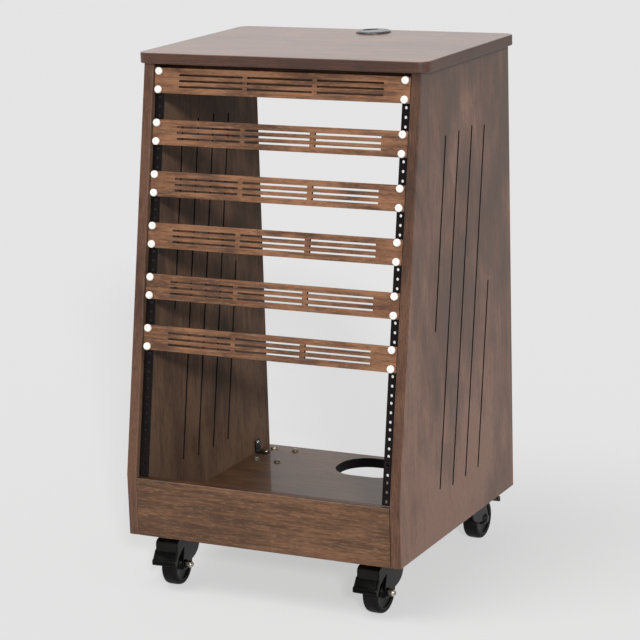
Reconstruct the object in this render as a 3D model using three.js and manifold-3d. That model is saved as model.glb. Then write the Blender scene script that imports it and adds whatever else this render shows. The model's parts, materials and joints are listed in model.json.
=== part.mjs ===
// Studio rack stand: a plywood cabinet on four braked casters, with two drilled
// steel rails that lean back and carry slotted wooden vent panels.
// Millimetres, +X to the right, +Y to the back, +Z up.
import * as THREE from "three";
import { mergeVertices } from "three/addons/utils/BufferGeometryUtils.js";
import Module from "manifold-3d";

const wasm = await Module();
wasm.setup();

// Rack standard
const rack_units = 16;
const unit_height = 44.45;
const hole_spacing = 465.1;
const ear_margin = 8.75;
const rail_lip_margin = 7.55;
const hole_height_shares = [1 / 7, 1 / 2, 6 / 7];
const screw_height_shares = [1 / 7, 6 / 7];

// Clearances
const seat_gap = 0.3;
const overrun = 5;

// Cabinet
const panel_side_gap = 1.7;
const side_board = 19;
const board = 18;
const top_thickness = 19;
const cabinet_depth = 502;
const caster_height = 107;
const side_drop = 8;
const plinth_height = 104;
const kink_rise = 6;
const lean = THREE.MathUtils.degToRad(10.1);
const rail_recess = 10;
const rail_top_gap = 7.6;
const top_side_overhang = 11;
const top_end_overhang = 7.2;
const top_corner_radius = 20;
const board_arris = 2;
const plinth_arris = 2.5;
const stretcher_height = 50;
const stretcher_gap = 1;

// Long vent slots of the sides, from the front one to the back one
const side_slot_width = 3.2;
const side_slot_top_margin = 117.6;
const side_slot_bottom_margin = 82.5;
const side_slot_first_share = 0.223;
const side_slot_pitch_share = 0.1108;
const side_slot_shares = [
  [0, 0.53],
  [0, 0.986],
  [0, 1],
  [0.012, 1],
  [0.465, 1],
];

// Cable openings
const cutout_offset = 10;
const cutout_width = 140;
const cutout_depth = 111;
const cutout_corner_radius = 50;
const cutout_rear_margin = 15;
const grommet_offset = 14;
const grommet_rear_inset = 38.2;
const grommet_flange_radius = 32;
const grommet_flange_height = 4;
const grommet_sleeve_radius = 29;
const grommet_wall = 3.5;
const grommet_ledge_width = 3.5;
const grommet_ledge_height = 2.5;
const grommet_edge_round = 1.5;
const cap_thickness = 2.5;
const cap_sink = 1;
const cap_notch_half_width = 15;
const cap_notch_depth = 16;
const cap_notch_round = 4;
const cap_turn = THREE.MathUtils.degToRad(45);

// Rails
const rail_thickness = 2;
const rail_leg_depth = 30;
const rail_hole_radius = 2.6;

// Vent panels
const vent_count = 6;
const vent_pitch_units = 2;
const vent_thickness = 6;
const vent_height_play = 0.8;
const vent_slot_height = 3.4;
const vent_slot_pitch = 10;
const vent_slot_rows = 3;
const vent_slot_groups = 3;
const vent_slot_bridge = 9;
const vent_slot_margin = 48;
const vent_hole_radius = 3.4;

// Screws with cup washers
const screw_clearance = 0.3;
const screw_tail = 5;
const cup_radius = 7.3;
const cup_height = 5.5;
const cup_rim_height = 1.6;
const cup_crown_radius = 3.9;
const cup_recess_radius = 2.4;
const cup_recess_depth = 1.8;

// Corner braces
const brace_leg = 24;
const brace_width = 19;
const brace_thickness = 2.5;
const brace_head_radius = 3.5;
const brace_head_height = 1.5;
const brace_screw_share = 0.78;
const brace_shift = 8;

// Casters
const caster_side_inset = 10.5;
const caster_rear_inset = 62;
const caster_front_gap = 17.2;
const caster_headings = {
  front_left: 4,
  front_right: -2.5,
  rear_left: 183,
  rear_right: 179,
};
const plate_length = 95;
const plate_width = 67;
const plate_thickness = 3;
const plate_corner_radius = 6;
const bolt_spacing_long = 75;
const bolt_spacing_short = 45;
const bolt_radius = 4;
const bolt_head_radius = 7.5;
const bolt_head_height = 5.3;
const bolt_tail = 2;
const nut_height = 5;
const race_radius = 27;
const race_height = 8;
const race_taper = 3;
const kingpin_radius = 5;
const kingpin_head_lip = 3;
const kingpin_head_height = 3;
const crown_thickness = 4;
const swivel_gap = 0.4;
const wheel_crown_gap = 16.3;
const wheel_width = 26;
const wheel_trail = 35;
const wheel_steps = 24;
const tread_shoulder = 5;
const tread_depth = 9.5;
const hub_radius = 11;
const web_inset = 4.5;
const fork_side_gap = 2;
const fork_leg_thickness = 2.5;
const fork_front_reach = 34;
const fork_rear_reach = 28;
const fork_boss_radius = 11;
const fork_rear_edge_shares = [
  [0.07, 0.88],
  [0.5, 0.775],
  [0.73, 0.593],
  [0.86, 0.386],
];
const axle_radius = 6;
const axle_gap = 0.3;
const axle_washer_radius = 9;
const axle_washer_thickness = 1.5;
const axle_nut_radius = 7.5;
const axle_nut_height = 7;
const axle_head_height = 4;

// Brake pedals
const pedal_width = 42;
const pedal_tread_width = 46;
const pedal_wall = 2.5;
const pedal_reach = 88;
const pedal_pivot_back = 26;
const pedal_pivot_drop = 24;
const pedal_pivot_radius = 3;
const pedal_ear_radius = 7;
const pedal_top_drop = 16.4;
const pedal_lip_drop = 60;
const pedal_crown_gap = 5;
const shoe_width = 18;
const shoe_length = 14;
const shoe_gap = 0.8;
const pedal_lifts = { front_left: 0, front_right: 0, rear_left: 0, rear_right: 8 };

// Places worked out from the sizes above
const panel_width = hole_spacing + 2 * ear_margin;
const rail_opening = hole_spacing - 2 * rail_lip_margin;
const bay_width = panel_width + 2 * panel_side_gap;
const inner_half = bay_width / 2;
const outer_half = inner_half + side_board;
const base_underside = caster_height;
const base_top = base_underside + board;
const side_bottom = base_underside - side_drop;
const plinth_top = side_bottom + plinth_height;
const kink_height = plinth_top + kink_rise;
const rack_height = rack_units * unit_height;
const rail_foot_rise =
  (plinth_top + seat_gap - kink_height + board * Math.tan(lean)) * Math.cos(lean);
const rail_foot = new THREE.Vector3(
  0,
  rail_recess * Math.cos(lean) + rail_foot_rise * Math.sin(lean),
  kink_height - rail_recess * Math.sin(lean) + rail_foot_rise * Math.cos(lean),
);
const rail_top_height = rail_foot.z + rack_height * Math.cos(lean);
const side_top = rail_top_height + rail_top_gap;
const board_half = inner_half - seat_gap;
const top_front = behindFrontEdge(side_top, 0) - top_end_overhang;
const top_rear = cabinet_depth + top_end_overhang;
const grommet_y = top_rear - grommet_rear_inset;
const top_surface = side_top + seat_gap + top_thickness;
const cutout_rear = cabinet_depth - cutout_rear_margin;
const caster_x = inner_half - caster_side_inset - plate_width / 2;
const caster_front_y = board + seat_gap + caster_front_gap + plate_length / 2;
const caster_rear_y = cabinet_depth - caster_rear_inset;
const caster_places = {
  front_left: [-caster_x, caster_front_y],
  front_right: [caster_x, caster_front_y],
  rear_left: [-caster_x, caster_rear_y],
  rear_right: [caster_x, caster_rear_y],
};
const crown_top = -seat_gap - plate_thickness - race_height - swivel_gap;
const crown_bottom = crown_top - crown_thickness;
const wheel_radius = (caster_height + crown_bottom - wheel_crown_gap) / 2;
const rim_radius = wheel_radius - tread_depth;
const axle_height = wheel_radius - caster_height;
const kingpin_head_radius = kingpin_radius + kingpin_head_lip;
const leg_inner = wheel_width / 2 + fork_side_gap;
const leg_outer = leg_inner + fork_leg_thickness;

// Finishes
const stained_side = { color: 0x6f6058, roughness: 0.45, metalness: 0 };
const stained_front = { color: 0x6e4c37, roughness: 0.45, metalness: 0 };
const stained_top = { color: 0x9c8c84, roughness: 0.35, metalness: 0 };
const vent_wood = { color: 0x8a6448, roughness: 0.5, metalness: 0 };
const black_steel = { color: 0x17171a, roughness: 0.4, metalness: 0.6 };
const black_plastic = { color: 0x1a1a1c, roughness: 0.4, metalness: 0 };
const black_rubber = { color: 0x141416, roughness: 0.7, metalness: 0 };
const white_nylon = { color: 0xf0eeea, roughness: 0.4, metalness: 0 };

// The depth of a line that runs beside the leaning front edge, at a height.
function behindFrontEdge(height, distance) {
  return (height - kink_height) * Math.tan(lean) + distance / Math.cos(lean);
}

// Solids and booleans
function solidOf(geometry) {
  const bare = geometry.clone();
  bare.deleteAttribute("normal");
  bare.deleteAttribute("uv");
  const merged = mergeVertices(bare);
  return new wasm.Manifold(
    new wasm.Mesh({
      numProp: 3,
      vertProperties: new Float32Array(merged.getAttribute("position").array),
      triVerts: new Uint32Array(merged.getIndex().array),
    }),
  );
}

function geometryOf(solid) {
  const made = solid.getMesh();
  const geometry = new THREE.BufferGeometry();
  geometry.setAttribute("position", new THREE.BufferAttribute(made.vertProperties, made.numProp));
  geometry.setIndex(new THREE.BufferAttribute(made.triVerts, 1));
  const faceted = geometry.toNonIndexed();
  faceted.computeVertexNormals();
  return faceted;
}

function joined(pieces) {
  return pieces.map(solidOf).reduce((sum, piece) => sum.add(piece));
}

function mesh(name, geometry, finish) {
  const made = new THREE.Mesh(geometry, new THREE.MeshStandardMaterial(finish));
  made.name = name;
  return made;
}

// Outlines
function arc(centre_x, centre_y, radius, from, to, steps) {
  return Array.from({ length: steps + 1 }, (_, i) => {
    const angle = from + ((to - from) * i) / steps;
    const x = centre_x + radius * Math.cos(angle);
    return new THREE.Vector2(x, centre_y + radius * Math.sin(angle));
  });
}

// A round hole whose flats, not its corners, lie at the radius.
function roundHole(x, y, radius, steps) {
  const corner_radius = radius / Math.cos(Math.PI / steps);
  return new THREE.Path(arc(x, y, corner_radius, 0, 2 * Math.PI, steps).slice(1));
}

function slotOutline(x0, y0, x1, y1, radius, steps) {
  const heading = Math.atan2(y1 - y0, x1 - x0);
  const quarter = Math.PI / 2;
  return [
    ...arc(x1, y1, radius, heading - quarter, heading + quarter, steps),
    ...arc(x0, y0, radius, heading + quarter, heading + 3 * quarter, steps),
  ];
}

function roundedRectangle(x0, y0, x1, y1, radius, steps) {
  const quarter = Math.PI / 2;
  return [
    ...arc(x1 - radius, y0 + radius, radius, -quarter, 0, steps),
    ...arc(x1 - radius, y1 - radius, radius, 0, quarter, steps),
    ...arc(x0 + radius, y1 - radius, radius, quarter, 2 * quarter, steps),
    ...arc(x0 + radius, y0 + radius, radius, 2 * quarter, 3 * quarter, steps),
  ];
}

// A flat board: its outline in plan, its thickness along +Z, with eased arrises.
function flatBoard(shape, thickness, arris = 0) {
  const geometry = new THREE.ExtrudeGeometry(shape, {
    depth: thickness - 2 * arris,
    steps: 1,
    bevelEnabled: arris > 0,
    bevelThickness: arris,
    bevelSize: arris,
    bevelOffset: -arris,
    bevelSegments: 2,
  });
  return geometry.translate(0, 0, arris);
}

// A board on edge: its outline is drawn in Y and Z, its thickness along +X.
function sideBoard(shape, thickness, arris = 0) {
  const turn = new THREE.Matrix4().makeBasis(
    new THREE.Vector3(0, 1, 0),
    new THREE.Vector3(0, 0, 1),
    new THREE.Vector3(1, 0, 0),
  );
  return flatBoard(shape, thickness, arris).applyMatrix4(turn);
}

// A board facing the front: its outline is drawn in X and Z, its thickness along +Y.
function frontBoard(shape, thickness) {
  return flatBoard(shape, thickness).rotateX(Math.PI / 2).translate(0, thickness, 0);
}

function revolved(profile, steps, turn_start = 0) {
  const points = profile.map(([radius, height]) => new THREE.Vector2(radius, height));
  return new THREE.LatheGeometry(points, steps, turn_start);
}

function cylinderAlongX(radius, from_x, to_x, steps) {
  const rod = new THREE.CylinderGeometry(radius, radius, to_x - from_x, steps);
  return rod.rotateZ(Math.PI / 2).translate((from_x + to_x) / 2, 0, 0);
}

function cylinderUp(radius, bottom, top, steps) {
  const rod = new THREE.CylinderGeometry(radius, radius, top - bottom, steps);
  return rod.rotateX(Math.PI / 2).translate(0, 0, (bottom + top) / 2);
}

function boxBetween(x0, y0, z0, x1, y1, z1) {
  const block = new THREE.BoxGeometry(x1 - x0, y1 - y0, z1 - z0);
  return block.translate((x0 + x1) / 2, (y0 + y1) / 2, (z0 + z1) / 2);
}

// Cabinet boards
function sidePanel(name, inner_x, outward) {
  const outline = new THREE.Shape([
    new THREE.Vector2(0, side_bottom),
    new THREE.Vector2(cabinet_depth, side_bottom),
    new THREE.Vector2(cabinet_depth, side_top),
    new THREE.Vector2(behindFrontEdge(side_top, 0), side_top),
    new THREE.Vector2(0, kink_height),
  ]);
  const slots = joined(side_slot_shares.map(sideSlotCutter));
  const panel = solidOf(sideBoard(outline, side_board, board_arris)).subtract(slots);
  const left_x = outward > 0 ? inner_x : inner_x - side_board;
  const made = mesh(name, geometryOf(panel), stained_side);
  made.position.set(left_x, 0, 0);
  return made;
}

function sideSlotCutter([start_share, end_share], i) {
  const radius = side_slot_width / 2;
  const field_top = side_top - side_slot_top_margin;
  const field_height = field_top - side_bottom - side_slot_bottom_margin;
  const distance = (side_slot_first_share + i * side_slot_pitch_share) * cabinet_depth;
  const upper = field_top - start_share * field_height - radius;
  const lower = field_top - end_share * field_height + radius;
  const outline = slotOutline(
    behindFrontEdge(lower, distance),
    lower,
    behindFrontEdge(upper, distance),
    upper,
    radius,
    4,
  );
  const cutter = sideBoard(new THREE.Shape(outline), side_board + 2 * overrun);
  return cutter.translate(-overrun, 0, 0);
}

function topBoard() {
  const half = outer_half + top_side_overhang;
  const outline = roundedRectangle(-half, top_front, half, top_rear, top_corner_radius, 5);
  const shape = new THREE.Shape(outline);
  shape.holes.push(roundHole(grommet_offset, grommet_y, grommet_sleeve_radius + seat_gap, 20));
  const made = mesh("top_board", flatBoard(shape, top_thickness, board_arris), stained_top);
  made.position.set(0, 0, side_top + seat_gap);
  return made;
}

function baseBoard() {
  const front = board + seat_gap;
  const shape = new THREE.Shape([
    new THREE.Vector2(-board_half, front),
    new THREE.Vector2(board_half, front),
    new THREE.Vector2(board_half, cabinet_depth),
    new THREE.Vector2(-board_half, cabinet_depth),
  ]);
  const cutout = roundedRectangle(
    cutout_offset - cutout_width / 2,
    cutout_rear - cutout_depth,
    cutout_offset + cutout_width / 2,
    cutout_rear,
    cutout_corner_radius,
    9,
  );
  shape.holes.push(new THREE.Path(cutout));
  for (const [x, y] of Object.values(caster_places)) {
    for (const [bolt_x, bolt_y] of boltPlaces()) {
      shape.holes.push(roundHole(x + bolt_x, y + bolt_y, bolt_radius + seat_gap, 6));
    }
  }
  const made = mesh("base_board", flatBoard(shape, board), stained_side);
  made.position.set(0, 0, base_underside);
  return made;
}

function frontPlinth() {
  const outline = new THREE.Shape([
    new THREE.Vector2(0, side_bottom),
    new THREE.Vector2(board, side_bottom),
    ...arc(board - plinth_arris, plinth_top - plinth_arris, plinth_arris, 0, Math.PI / 2, 3),
    ...arc(plinth_arris, plinth_top - plinth_arris, plinth_arris, Math.PI / 2, Math.PI, 3),
  ]);
  const made = mesh("front_plinth", sideBoard(outline, 2 * board_half), stained_front);
  made.position.set(-board_half, 0, 0);
  return made;
}

function topStretcher() {
  const front = behindFrontEdge(side_top, rail_recess + rail_leg_depth) + stretcher_gap;
  const lower = side_top - stretcher_height;
  const outline = new THREE.Shape([
    new THREE.Vector2(front, lower),
    new THREE.Vector2(front + board, lower),
    new THREE.Vector2(front + board, side_top),
    new THREE.Vector2(front, side_top),
  ]);
  const made = mesh("top_stretcher", sideBoard(outline, 2 * board_half), stained_front);
  made.position.set(-board_half, 0, 0);
  return made;
}

// Rails, vent panels and their screws stand in one group that leans back:
// its origin is at the foot of the rails' front face.
function rackRail(name, sign) {
  const edge = rail_opening / 2;
  const outer = inner_half - seat_gap;
  const flange = new THREE.Shape([
    new THREE.Vector2(edge, 0),
    new THREE.Vector2(outer, 0),
    new THREE.Vector2(outer, rack_height),
    new THREE.Vector2(edge, rack_height),
  ]);
  for (let unit = 0; unit < rack_units; unit += 1) {
    for (const share of hole_height_shares) {
      const height = (unit + share) * unit_height;
      flange.holes.push(roundHole(hole_spacing / 2, height, rail_hole_radius, 6));
    }
  }
  const leg = boxBetween(outer - rail_thickness, 0, 0, outer, rail_leg_depth, rack_height);
  const rail = joined([frontBoard(flange, rail_thickness), leg]);
  const sided = sign > 0 ? rail : rail.mirror([1, 0, 0]);
  return mesh(name, geometryOf(sided), black_steel);
}

function ventPanel(name, unit) {
  const half = panel_width / 2;
  const height = unit_height - vent_height_play;
  const shape = new THREE.Shape([
    new THREE.Vector2(-half, -height / 2),
    new THREE.Vector2(half, -height / 2),
    new THREE.Vector2(half, height / 2),
    new THREE.Vector2(-half, height / 2),
  ]);
  for (const side of [-1, 1]) {
    for (const share of screw_height_shares) {
      const y = (share - 1 / 2) * unit_height;
      shape.holes.push(roundHole((side * hole_spacing) / 2, y, vent_hole_radius, 8));
    }
  }
  const panel = solidOf(frontBoard(shape, vent_thickness)).subtract(ventSlotCutters());
  const made = mesh(name, geometryOf(panel), vent_wood);
  made.position.set(0, -seat_gap - vent_thickness, (unit + 1 / 2) * unit_height);
  return made;
}

// Three groups of long slots, one above the other in each group.
function ventSlotCutters() {
  const slotted_width = panel_width - 2 * vent_slot_margin + vent_slot_bridge;
  const group_pitch = slotted_width / vent_slot_groups;
  const cutters = [];
  for (let group = 0; group < vent_slot_groups; group += 1) {
    const left = -panel_width / 2 + vent_slot_margin + group * group_pitch;
    const right = left + group_pitch - vent_slot_bridge;
    for (let row = 0; row < vent_slot_rows; row += 1) {
      const middle = (row - (vent_slot_rows - 1) / 2) * vent_slot_pitch;
      const lower = middle - vent_slot_height / 2;
      const upper = middle + vent_slot_height / 2;
      const back = vent_thickness + overrun;
      cutters.push(boxBetween(left, -overrun, lower, right, back, upper));
    }
  }
  return joined(cutters);
}

function rackScrew(name, x, height) {
  const shank_radius = rail_hole_radius - screw_clearance;
  const shank_end = -2 * seat_gap - vent_thickness - rail_thickness - screw_tail;
  const profile = [
    [0, shank_end],
    [shank_radius, shank_end],
    [shank_radius, 0],
    [cup_radius, 0],
    [cup_radius, cup_rim_height],
    [cup_crown_radius, cup_height],
    [cup_recess_radius, cup_height - cup_recess_depth],
    [0, cup_height - cup_recess_depth],
  ];
  const screw = revolved(profile, 10).rotateX(Math.PI);
  const made = mesh(name, geometryOf(solidOf(screw)), white_nylon);
  made.position.set(x, -2 * seat_gap - vent_thickness, height);
  return made;
}

function rackFront() {
  const rack = new THREE.Group();
  rack.position.copy(rail_foot);
  rack.rotation.x = -lean;
  rack.add(rackRail("rack_rail_left", -1), rackRail("rack_rail_right", 1));
  for (let i = 0; i < vent_count; i += 1) {
    const unit = rack_units - 1 - i * vent_pitch_units;
    const number = i + 1;
    rack.add(ventPanel("vent_panel_" + number, unit));
    screw_height_shares.forEach((share, level) => {
      const height = (unit + share) * unit_height;
      const row = level === 0 ? "lower" : "upper";
      rack.add(rackScrew(`rack_screw_${number}_${row}_left`, -hole_spacing / 2, height));
      rack.add(rackScrew(`rack_screw_${number}_${row}_right`, hole_spacing / 2, height));
    });
  }
  return rack;
}

// Cable grommet of the top
function grommetRing() {
  const bore = grommet_sleeve_radius - grommet_wall;
  const ledge_top = grommet_flange_height - cap_sink - cap_thickness - seat_gap;
  const ledge_bottom = ledge_top - grommet_ledge_height;
  const ledge_bore = bore - grommet_ledge_width;
  const profile = [
    [bore, -top_thickness],
    [grommet_sleeve_radius, -top_thickness],
    [grommet_sleeve_radius, seat_gap],
    [grommet_flange_radius, seat_gap],
    [grommet_flange_radius, grommet_flange_height - grommet_edge_round],
    [grommet_flange_radius - grommet_edge_round, grommet_flange_height],
    [bore, grommet_flange_height],
    [bore, ledge_top],
    [ledge_bore, ledge_top],
    [ledge_bore, ledge_bottom],
    [bore, ledge_bottom - grommet_ledge_width],
    [bore, -top_thickness],
  ];
  const ring = revolved(profile, 24).rotateX(Math.PI / 2);
  const made = mesh("grommet_ring", geometryOf(solidOf(ring)), black_plastic);
  made.position.set(grommet_offset, grommet_y, top_surface);
  return made;
}

function grommetCap() {
  const radius = grommet_sleeve_radius - grommet_wall - seat_gap;
  const notch_front = radius - cap_notch_depth;
  const notch = roundedRectangle(
    -cap_notch_half_width,
    notch_front,
    cap_notch_half_width,
    radius + overrun + cap_notch_round,
    cap_notch_round,
    3,
  );
  const cutter = flatBoard(new THREE.Shape(notch), cap_thickness + 2 * overrun);
  const disc = solidOf(cylinderUp(radius, 0, cap_thickness, 24));
  const cap = disc.subtract(solidOf(cutter.translate(0, 0, -overrun)));
  const made = mesh("grommet_cap", geometryOf(cap), black_plastic);
  made.rotation.z = cap_turn;
  const height = top_surface + grommet_flange_height - cap_sink - cap_thickness;
  made.position.set(grommet_offset, grommet_y, height);
  return made;
}

// Steel angle between the base and a side, with a screw in each leg.
function cornerBrace(name, sign) {
  const outline = new THREE.Shape([
    new THREE.Vector2(0, 0),
    new THREE.Vector2(brace_leg, 0),
    new THREE.Vector2(brace_leg, brace_thickness),
    new THREE.Vector2(brace_thickness, brace_thickness),
    new THREE.Vector2(brace_thickness, brace_leg),
    new THREE.Vector2(0, brace_leg),
  ]);
  const angle = frontBoard(outline, brace_width);
  const head_end = brace_thickness + brace_head_height;
  const place = brace_leg * brace_screw_share;
  const middle = brace_width / 2;
  const foot_head = cylinderUp(brace_head_radius, 0, head_end, 10).translate(place, middle, 0);
  const wall_head = cylinderAlongX(brace_head_radius, 0, head_end, 10).translate(0, middle, place);
  const brace = joined([angle, foot_head, wall_head]);
  const sided = sign > 0 ? brace.mirror([1, 0, 0]) : brace;
  const made = mesh(name, geometryOf(sided), black_steel);
  const y = caster_rear_y + brace_shift - middle;
  made.position.set(sign * (inner_half - seat_gap), y, base_top + seat_gap);
  return made;
}

// Casters. Each is drawn about its swivel axis, with z = 0 at the underside of
// the base, and trails towards -Y before it is turned to its heading.
function boltPlaces() {
  const x = bolt_spacing_short / 2;
  const y = bolt_spacing_long / 2;
  return [
    [-x, -y],
    [x, -y],
    [-x, y],
    [x, y],
  ];
}

function plateBolt([x, y]) {
  const nut_bottom = board + seat_gap;
  const nut_top = nut_bottom + nut_height;
  const head_bottom = -seat_gap - plate_thickness - bolt_head_height;
  return [
    cylinderUp(bolt_radius, head_bottom, nut_top + bolt_tail, 6),
    cylinderUp(bolt_head_radius, nut_bottom, nut_top, 6),
    cylinderUp(bolt_head_radius, head_bottom, -seat_gap - plate_thickness, 6),
  ].map((piece) => piece.translate(x, y, 0));
}

function casterPlate(name) {
  const half_x = plate_width / 2;
  const half_y = plate_length / 2;
  const outline = roundedRectangle(-half_x, -half_y, half_x, half_y, plate_corner_radius, 2);
  const plate_bottom = -seat_gap - plate_thickness;
  const plate = flatBoard(new THREE.Shape(outline), plate_thickness).translate(0, 0, plate_bottom);
  const race_bottom = plate_bottom - race_height;
  const head_top = crown_bottom - swivel_gap;
  const head_bottom = head_top - kingpin_head_height;
  const race = revolved(
    [
      [0, head_bottom],
      [kingpin_head_radius, head_bottom],
      [kingpin_head_radius, head_top],
      [kingpin_radius, head_top],
      [kingpin_radius, race_bottom],
      [race_radius - race_taper, race_bottom],
      [race_radius, race_bottom + race_height / 2],
      [race_radius, plate_bottom + plate_thickness / 2],
      [0, plate_bottom + plate_thickness / 2],
    ],
    14,
  ).rotateX(Math.PI / 2);
  const solid = joined([plate, race, ...boltPlaces().flatMap(plateBolt)]);
  return mesh(name, geometryOf(solid), black_steel);
}

function forkLeg() {
  const rear_edge = fork_rear_edge_shares.map(([across, down]) => {
    const z = crown_top + (axle_height - crown_top) * down;
    return new THREE.Vector2(fork_rear_reach * across, z);
  });
  const outline = new THREE.Shape([
    new THREE.Vector2(-fork_front_reach, crown_top),
    ...arc(-wheel_trail, axle_height, fork_boss_radius, Math.PI, 2 * Math.PI, 6),
    ...rear_edge,
    new THREE.Vector2(fork_rear_reach, crown_bottom),
    new THREE.Vector2(fork_rear_reach, crown_top),
  ]);
  outline.holes.push(
    roundHole(-pedal_pivot_back, -pedal_pivot_drop, pedal_pivot_radius + seat_gap, 8),
  );
  return sideBoard(outline, fork_leg_thickness);
}

function casterFork(name) {
  const crown = cylinderUp(race_radius, crown_bottom, crown_top, 14);
  const bridge = boxBetween(
    -leg_outer,
    -fork_front_reach,
    crown_bottom,
    leg_outer,
    fork_rear_reach,
    crown_top,
  );
  const washer_x = leg_outer + axle_washer_thickness;
  const nut_x = washer_x + axle_nut_height;
  const head_x = leg_outer + axle_head_height;
  const axle = [
    cylinderAlongX(axle_radius, -leg_outer, nut_x + axle_washer_thickness, 8),
    cylinderAlongX(axle_washer_radius, leg_outer, washer_x, 10),
    cylinderAlongX(axle_nut_radius, washer_x, nut_x, 6),
    cylinderAlongX(axle_washer_radius, -head_x, -leg_outer, 10),
  ].map((piece) => piece.translate(0, -wheel_trail, axle_height));
  const pin_bore = cylinderUp(
    kingpin_radius + swivel_gap,
    crown_bottom - overrun,
    crown_top + overrun,
    10,
  );
  const legs = [
    forkLeg().translate(leg_inner, 0, 0),
    forkLeg().translate(-leg_outer, 0, 0),
  ];
  const fork = joined([crown, bridge, ...legs, ...axle]).subtract(solidOf(pin_bore));
  return mesh(name, geometryOf(fork), black_steel);
}

function casterWheel(name) {
  const half = wheel_width / 2;
  const flat_radius = wheel_radius / Math.cos(Math.PI / wheel_steps);
  const bore = axle_radius + axle_gap;
  const web_half = half - web_inset;
  const side = [
    [bore, half],
    [hub_radius, half],
    [hub_radius, web_half],
    [rim_radius, web_half],
    [rim_radius, half],
    [wheel_radius - tread_shoulder, half],
    [flat_radius, half - tread_shoulder],
  ];
  const other_side = side.map(([radius, x]) => [radius, -x]).reverse();
  const profile = [side[0], ...other_side.slice().reverse(), ...side.slice().reverse()];
  const tyre = revolved(profile, wheel_steps, Math.PI / wheel_steps).rotateZ(-Math.PI / 2);
  const made = mesh(name, geometryOf(solidOf(tyre)), black_rubber);
  made.position.set(0, -wheel_trail, axle_height);
  return made;
}

// A hood over the front of the wheel, with a wider tread for the foot: two cheeks
// hang on pins in the fork's legs, and a shoe under the hood is pressed on the wheel
// when the lip is down.
function brakePedal(name, lift) {
  const outline = pedalOutline();
  const half = pedal_width / 2;
  const hood = solidOf(sideBoard(outline, pedal_width).translate(-half, 0, 0));
  const inner_width = pedal_width - 2 * pedal_wall;
  const hollow = sideBoard(outline, inner_width).translate(
    -inner_width / 2,
    pedal_wall,
    -pedal_wall,
  );
  const room_for_fork = boxBetween(
    -inner_width / 2,
    -fork_front_reach - pedal_crown_gap,
    -pedal_lip_drop,
    inner_width / 2,
    overrun,
    overrun,
  );
  const pins = [
    cylinderAlongX(pedal_pivot_radius, leg_inner, half, 8),
    cylinderAlongX(pedal_pivot_radius, -half, -leg_inner, 8),
  ].map((pin) => pin.translate(0, -pedal_pivot_back, -pedal_pivot_drop));
  const tread = sideBoard(pedalTreadOutline(), pedal_tread_width);
  const pedal = hood
    .subtract(joined([hollow, room_for_fork]))
    .add(joined([...pins, tread.translate(-pedal_tread_width / 2, 0, 0)]))
    .add(brakeShoe());
  const geometry = geometryOf(pedal).translate(0, pedal_pivot_back, pedal_pivot_drop);
  const made = mesh(name, geometry, black_plastic);
  made.position.set(0, -pedal_pivot_back, -pedal_pivot_drop);
  made.rotation.x = -THREE.MathUtils.degToRad(lift);
  return made;
}

// The block under the hood, hollowed to the wheel's tread.
function brakeShoe() {
  const back = -fork_front_reach - pedal_crown_gap;
  const block = boxBetween(
    -shoe_width / 2,
    back - shoe_length,
    axle_height + wheel_radius / 2,
    shoe_width / 2,
    back,
    -pedal_top_drop - pedal_wall / 2,
  );
  const wheel_room = (wheel_radius + shoe_gap) / Math.cos(Math.PI / wheel_steps);
  const wheel = cylinderAlongX(wheel_room, -wheel_width, wheel_width, wheel_steps);
  return solidOf(block).subtract(solidOf(wheel.translate(0, -wheel_trail, axle_height)));
}

// A point of the pedal's side view, by its shares of the reach and of the drop.
function pedalPoint([across, down]) {
  const y = -pedal_pivot_back - (pedal_reach - pedal_pivot_back) * across;
  return new THREE.Vector2(y, -pedal_top_drop - (pedal_lip_drop - pedal_top_drop) * down);
}

// The hood from the side: ear, flat top, rounded brow, sloping face and lip.
function pedalOutline() {
  const ear = arc(
    -pedal_pivot_back,
    -pedal_pivot_drop,
    pedal_ear_radius,
    -Math.PI / 2,
    Math.PI / 2,
    5,
  );
  const hood_shares = [
    [0.3, 0],
    [0.58, 0],
    [0.69, 0.04],
    [0.755, 0.14],
    [0.755, 0.42],
    [0.955, 0.82],
    [0.97, 0.9],
    [0.95, 0.98],
    [0.88, 1],
    [0.74, 0.72],
    [0.42, 0.42],
  ];
  return new THREE.Shape([...ear, ...hood_shares.map(pedalPoint)]);
}

function pedalTreadOutline() {
  const tread_shares = [
    [0.755, 0.42],
    [0.955, 0.82],
    [0.97, 0.9],
    [0.95, 0.98],
    [0.88, 1],
    [0.72, 0.5],
  ];
  return new THREE.Shape(tread_shares.map(pedalPoint));
}

function caster(corner) {
  const [x, y] = caster_places[corner];
  const whole = new THREE.Group();
  whole.position.set(x, y, base_underside);
  whole.add(casterPlate("caster_plate_" + corner));
  const swivel = new THREE.Group();
  swivel.rotation.z = THREE.MathUtils.degToRad(caster_headings[corner]);
  swivel.add(
    casterFork("caster_fork_" + corner),
    casterWheel("caster_wheel_" + corner),
    brakePedal("brake_pedal_" + corner, pedal_lifts[corner]),
  );
  whole.add(swivel);
  return whole;
}

// The stand
const stand = new THREE.Group();
stand.add(
  sidePanel("side_panel_left", -inner_half, -1),
  sidePanel("side_panel_right", inner_half, 1),
  topBoard(),
  baseBoard(),
  frontPlinth(),
  topStretcher(),
  rackFront(),
  grommetRing(),
  grommetCap(),
  cornerBrace("corner_brace_left", -1),
  cornerBrace("corner_brace_right", 1),
  ...Object.keys(caster_places).map(caster),
);

// The origin is the bottom centre of the whole stand's box.
const box = new THREE.Box3().setFromObject(stand, true);
const centre = box.getCenter(new THREE.Vector3());
stand.position.set(0, -centre.y, -box.min.z);
const rack_stand = new THREE.Group();
rack_stand.add(stand);

export default rack_stand;
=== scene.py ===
import bpy
import json
import math
from mathutils import Matrix, Vector


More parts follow.
